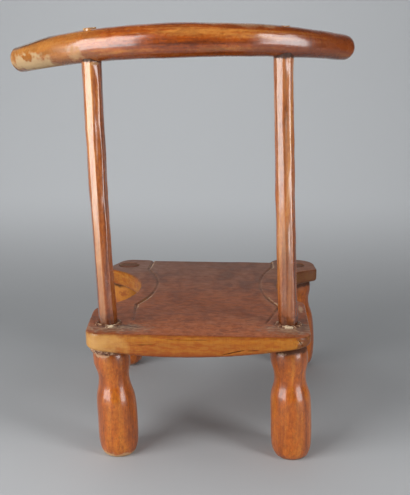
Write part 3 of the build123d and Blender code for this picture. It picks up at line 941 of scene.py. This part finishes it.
def worn_seat_hardwood(shader, place):
    """A thick adzed plank: the top is dark, dry and rubbed, the edge amber under old varnish."""
    tone = colours().seat_top
    edge, streak, pores = streaky_wood(place, 0, ("#84400c", colours().seat_side, "#b8741a"), 60)
    edge = stain(
        edge,
        (specks(place, (14, 14, 4), 0.42, 0.62, 5, 0.6, 64), 0.45, "#b98430"),
        (specks(place, (1.8, 8, 14), 0.48, 0.66, 3, 0.3, 66), 0.25, "#7a3c10"),
        (band(place, "Z", 176, 164, 4, 20), 0.65, "#7c300c"),
        (patch(place, (-60, 222, 180), (115, 18, 20), 0.4, 20, 0.7), 0.35, "#8e4208"),
        (patch(place, (112, 222, 181), (36, 18, 16), 0.45, 12, 0.7), 0.7, "#c99a58"),
        (patch(place, (-176, 216, 184), (12, 18, 16), 0.6, 6, 0.4), 0.7, "#5a2610"),
        (patch(place, (-170, 220, 188), (3, 10, 2), 0.9, 3, 0.4), 0.5, colours().filler),
        # painted shade on the side of the front right lobe
        (patch(place, (-205, -112, 180), (60, 70, 40), 0.3, 12, 0.4), 0.8, "#54301c"),
        (band(place, "Z", 191, 194.5, 1.2), 0.5, "#54220e"),
    )
    # the top is blotched rather than streaked: years of sitting have closed the grain
    blotches = grain(place, (26, 44, 20), 8, 0.8, 70)
    worn = ((0.36, deeper(tone, 0.55)), (0.5, tone), (0.64, "#a0603c"))
    top = add(place, "ValToRGB", [blotches], stops=worn)
    fleck = specks(place, (7, 7, 3), 0.48, 0.62, 5, 0.6, 82)
    fleck = add(place, "Math MULTIPLY", (fleck, band(place, "Y", 110, 200, 20, 30)))
    uneven = specks(place, (12, 12, 12), 0.35, 0.6, 3, 0, 90, least=0.2)
    # painted shade in the grooves, a painted highlight on their lit walls, and wear along them
    lines = (add(place, "Attribute", attribute_name=line[0], out="Fac") for line in GROOVE_LINES)
    groove_shadow, lit_wall, rub = (add(place, "Math MULTIPLY", (line, uneven)) for line in lines)
    lit_wall = add(place, "Math MULTIPLY", (lit_wall, 1.4), use_clamp=True)
    feet = widest(
        patch(place, (84, 196, 195), (44, 15, 5), 0.6, 7, 0.6),
        patch(place, (-160, 188, 195), (34, 20, 5), 0.6, 7, 0.6),
    )
    top = stain(
        top,
        (patch(place, (-25, 75, 195), (120, 75, 20), 0.4, 40, 0.7), 0.55, "#a4562a"),
        (band(place, "Y", 140, 205, 12, 20), 0.75, "#aa5826"),
        # painted sheen of the backdrop: greyer towards the front of the top
        (band(place, "Y", 70, -170, 30, 40), 0.6, "#664c40"),
        (patch(place, (116, -150, 195), (56, 46, 9), 0.3, 12, 0.5), 0.6, "#8a6858"),
        (patch(place, (-182, -150, 195), (44, 56, 9), 0.3, 12, 0.5), 0.5, "#94603e"),
        (specks(place, (14, 4.4, 2.4), 0.42, 0.6, 6, 0.8, 75), 0.6, deeper(tone, 0.5)),
        (rub, 0.3, "#8e6c54"),
        (fleck, 0.55, "#b4683c"),
        (feet, 0.6, "#6d5648"),
        # painted shadows cast by the posts beside their feet
        (patch(place, (74, 188, 195), (26, 11, 5), 0.5, 6, 0.5), 0.7, "#47352b"),
        (patch(place, (-176, 176, 195), (12, 14, 5), 0.5, 6, 0.5), 0.5, "#47352b"),
        # painted shade and painted highlight of the grooves
        (groove_shadow, 0.95, "#1e0e08"),
        (lit_wall, 0.8, "#dcbc96"),
        (band(place, "Y", 216, 221.5, 2, 6), 0.5, "#6e2c12"),
    )
    upright = add(place, "Attribute", attribute_name="upward", out="Fac")
    fray = specks(place, (5, 5, 5), 0.3, 0.7, 4, least=-0.15, most=0.15)
    upward = add(place, "MapRange", (add(place, "Math ADD", (upright, fray)), 0.72, 0.92))
    mortises = [(*LEGS[name].top, SEAT_TOP) for name in LEGS if "front" in name]
    mortises = widest(*(patch(place, mortise, (24, 24, 8), 0.1) for mortise in mortises))
    upward = widest(upward, mortises)
    # crumbs of filler, smeared out from the feet of the posts
    crumbs = specks(place, (10, 6, 4), 0.46, 0.62, 4, 0.3, 95)
    dust = widest(
        add(place, "Math MULTIPLY", (feet, crumbs)),
        patch(place, (90, 194, 195), (9, 5, 5), 0.7, 4, 0.4),
        patch(place, (-155, 187, 195), (12, 4, 5), 0.7, 4, 0.4),
        patch(place, (-177, 92, 195), (3, 15, 5), 0.5, 5, 0.4),
    )
    body = add(place, "Mix", {0: upward, 6: edge, 7: top}, out=2, data_type="RGBA")
    body = stain(body, (dust, 0.65, "#b9987a"))
    dry = add(place, "Math MULTIPLY", (upward, 0.5))
    varnish(shader, place, body, streak, pores, 0.36, widest(dust, dry), 0.3)
    feed(shader, {"Specular IOR Level": 0.3})


def bare_end_grain(shader, place):
    """Bare split wood, hammered: pale and dry, with dark crushed fibres."""
    fibres = grain(place, (1.2, 1.2, 6), 4)
    body = add(place, "ValToRGB", [fibres], stops=((0.35, "#6b4526"), (0.5, "#b48a5c"), (0.65, "#e0c69a")))
    body = stain(body, (band(place, "Z", 300, 200, 1), 0.8, "#4e3222"))
    leave_matt(shader, body, 0.75, fibres, 0.3)


def dried_wood_filler(shader, place):
    """Dried wood filler, smeared with old varnish: crumbly and brown, with chalky crests."""
    crumbs = grain(place, (4.5, 4.5, 3), 6, 0.5)
    shades = ((0.36, "#4a2816"), (0.5, "#7d4d32"), (0.6, colours().filler), (0.72, "#dcc0a0"))
    body = add(place, "ValToRGB", [crumbs], stops=shades)
    chips = (91, 191, 195), (-156, 183, 196)
    fresh_chips = widest(*(patch(place, chip, (6, 5, 6), 0.9, 2.5, 0.3) for chip in chips))
    leave_matt(shader, stain(body, (fresh_chips, 0.7, "#e2ccaa")), 0.6, crumbs, 1)


def studio_paper(shader, place):
    """Matt seamless paper: pale grey and a little scuffed, with painted shade where it runs back under the
    chair and painted light up the wall.
    """
    scuffs = grain(place, (260, 260, 260), 5)
    pale = colours().floor
    body = stain(
        add(place, "ValToRGB", [scuffs], stops=((0.3, deeper(pale, 0.95)), (0.7, pale))),
        # painted shade where the floor runs back under and behind the chair
        (band(place, "Y", 330, -120, 30, 300), 0.8, deeper(pale, 0.6)),
        # painted light: paler up the wall
        (band(place, "Z", -70, 180, 0), 1, colours().wall),
    )
    leave_matt(shader, body, 0.85)


# ---- Studio: metres and watts ----
# (place, size, power, what it is aimed at)
SOFTBOXES = {
    "left": ((1.085, 1.084, 0.77), (1.1, 1.5), 29, (-0.03, 0.08, 0.6)),
    "right": ((-1.26, 0.94, 0.77), (0.5, 1.5), 16, (-0.03, 0.08, 0.6)),
    "ceiling": ((0.5, -0.25, 2.6), (2.4, 2), 15, (0, -0.4, 0)),
}
FILL = 0.07
FILL_COLOUR = "#f2f2f2"
CAMERA_PLACE = (-0.10288, 1.18399, 0.53548)
CAMERA_PITCH = 12.788  # degrees down
CAMERA_YAW = 3.598  # degrees off the chair's own axis
FOCAL_PIXELS = 760
FRAME_HEIGHT = 495
SENSOR = 36
FLOOR_HALF = 3.5
SWEEP_START = -0.48
SWEEP_RADIUS = 1.3
SWEEP_STEPS = 24
WALL_HEIGHT = 1.5


def lay_floor():
    """Seamless paper that runs back and curves up a wall, well clear of the chair."""
    bpy.ops.mesh.primitive_plane_add(size=2 * FLOOR_HALF, location=(0, SWEEP_START + FLOOR_HALF, 0))
    paper = fresh("studio_floor")
    with mesh_open(paper, "vertices", [vertex.co.y < 0 for vertex in paper.data.vertices]):
        last = Vector((0, 0, 0))
        for step in range(1, SWEEP_STEPS + 1):
            angle = radians(90 * step / SWEEP_STEPS)
            here = Vector((0, -sin(angle), 1 - cos(angle))) * SWEEP_RADIUS
            bpy.ops.mesh.extrude_edges_move(TRANSFORM_OT_translate={"value": here - last})
            last = here
        bpy.ops.mesh.extrude_edges_move(TRANSFORM_OT_translate={"value": (0, 0, WALL_HEIGHT)})
    bpy.ops.object.shade_smooth()
    paper.data.materials.append(finish(studio_paper))


def hang_softbox(name, place, size, power, aim):
    bpy.ops.object.light_add(type="AREA", location=place)
    lamp = bpy.context.object
    lamp.name = "softbox_" + name
    lamp.data.shape = "RECTANGLE"
    lamp.data.size, lamp.data.size_y = size
    lamp.data.energy = power
    lamp.visible_camera = False
    lamp.visible_glossy = name != "ceiling"
    lamp.rotation_euler = (Vector(aim) - Vector(place)).to_track_quat("-Z", "Y").to_euler()


def set_camera():
    bpy.ops.object.camera_add(
        location=CAMERA_PLACE, rotation=(radians(90 - CAMERA_PITCH), 0, radians(180 + CAMERA_YAW))
    )
    camera = bpy.context.object
    camera.name = "studio_camera"
    camera.data.sensor_fit = "VERTICAL"
    camera.data.sensor_height = SENSOR
    camera.data.lens = FOCAL_PIXELS / FRAME_HEIGHT * SENSOR
    camera.data.clip_start = 0.05
    bpy.context.scene.camera = camera


# ---- Operators ----
class SetStudio(bpy.types.Operator):
    """Lay the floor, hang the softboxes and set the camera"""

    bl_idname = "chair.set_studio"
    bl_label = "Set the studio"

    def execute(self, context):
        scene = context.scene
        scene.view_settings.view_transform = "Standard"
        scene.world = scene.world or bpy.data.worlds.new("studio")
        scene.world.use_nodes = True
        sky = scene.world.node_tree.nodes.get("Background")
        if sky is None:
            raise RuntimeError("the world has no Background node to light the studio with")
        feed(sky, {"Color": linear(FILL_COLOUR), "Strength": FILL})
        lay_floor()
        for name, box in SOFTBOXES.items():
            hang_softbox(name, *box)
        set_camera()
        return {"FINISHED"}


class CarveSeat(bpy.types.Operator):
    """Carve the plank seat"""

    bl_idname = "chair.carve_seat"
    bl_label = "Carve the seat"

    def execute(self, context):
        carve_seat()
        return {"FINISHED"}


class CarveLegs(bpy.types.Operator):
    """Carve the four bottle-shaped legs"""

    bl_idname = "chair.carve_legs"
    bl_label = "Carve the legs"

    def execute(self, context):
        for name in LEGS:
            carve_leg(name)
        return {"FINISHED"}


class WhittlePosts(bpy.types.Operator):
    """Whittle the two posts of the back"""

    bl_idname = "chair.whittle_posts"
    bl_label = "Whittle the posts"

    def execute(self, context):
        for side in POSTS:
            whittle_post(side)
        return {"FINISHED"}


class BendRail(bpy.types.Operator):
    """Shape the bent crest rail"""

    bl_idname = "chair.bend_rail"
    bl_label = "Bend the rail"

    def execute(self, context):
        shape_rail()
        return {"FINISHED"}


class DriveWedges(bpy.types.Operator):
    """Drive the wedges into the tenons"""

    bl_idname = "chair.drive_wedges"
    bl_label = "Drive the wedges"

    def execute(self, context):
        for side, proud in POST_WEDGE_PROUD.items():
            middle = (*LEGS["front_" + side].top, SEAT_TOP - FRONT_WEDGE_SINK)
            drive_wedge("wedge_front_" + side, middle, *FRONT_WEDGE)
            tip = post_tip(side)
            drive_wedge("wedge_post_" + side, (tip.x, tip.y, tip.z - WEDGE_DEPTH / 2 + proud), *POST_WEDGE)
        return {"FINISHED"}


class PackFiller(bpy.types.Operator):
    """Thumb filler round the posts and the rear left leg"""

    bl_idname = "chair.pack_filler"
    bl_label = "Pack the filler"

    def execute(self, context):
        for side in POSTS:
            pack_filler(side)
        pack_leg_filler()
        return {"FINISHED"}


OPERATORS = (SetStudio, CarveSeat, CarveLegs, WhittlePosts, BendRail, DriveWedges, PackFiller)


class ChairPanel(bpy.types.Panel):
    """The chair's settings and steps"""

    bl_idname = "VIEW3D_PT_carved_chair"
    bl_label = "Carved chair"
    bl_space_type = "VIEW_3D"
    bl_region_type = "UI"
    bl_category = "Chair"

    def draw(self, context):
        for group in (settings(), colours()):
            for name in group.__annotations__:
                self.layout.prop(group, name)
        for operator in OPERATORS:
            self.layout.operator(operator.bl_idname)


CLASSES = (CarvingSettings, FinishSettings, *OPERATORS, ChairPanel)


def register():
    for kind in CLASSES:
        bpy.utils.register_class(kind)
    bpy.types.Scene.chair_carving = PointerProperty(type=CarvingSettings)
    bpy.types.Scene.chair_finish = PointerProperty(type=FinishSettings)


def unregister():
    del bpy.types.Scene.chair_carving
    del bpy.types.Scene.chair_finish
    for kind in reversed(CLASSES):
        bpy.utils.unregister_class(kind)


def main():
    register()
    for operator in OPERATORS:
        group, name = operator.bl_idname.split(".")
        getattr(getattr(bpy.ops, group), name)()


if __name__ == "__main__":
    main()
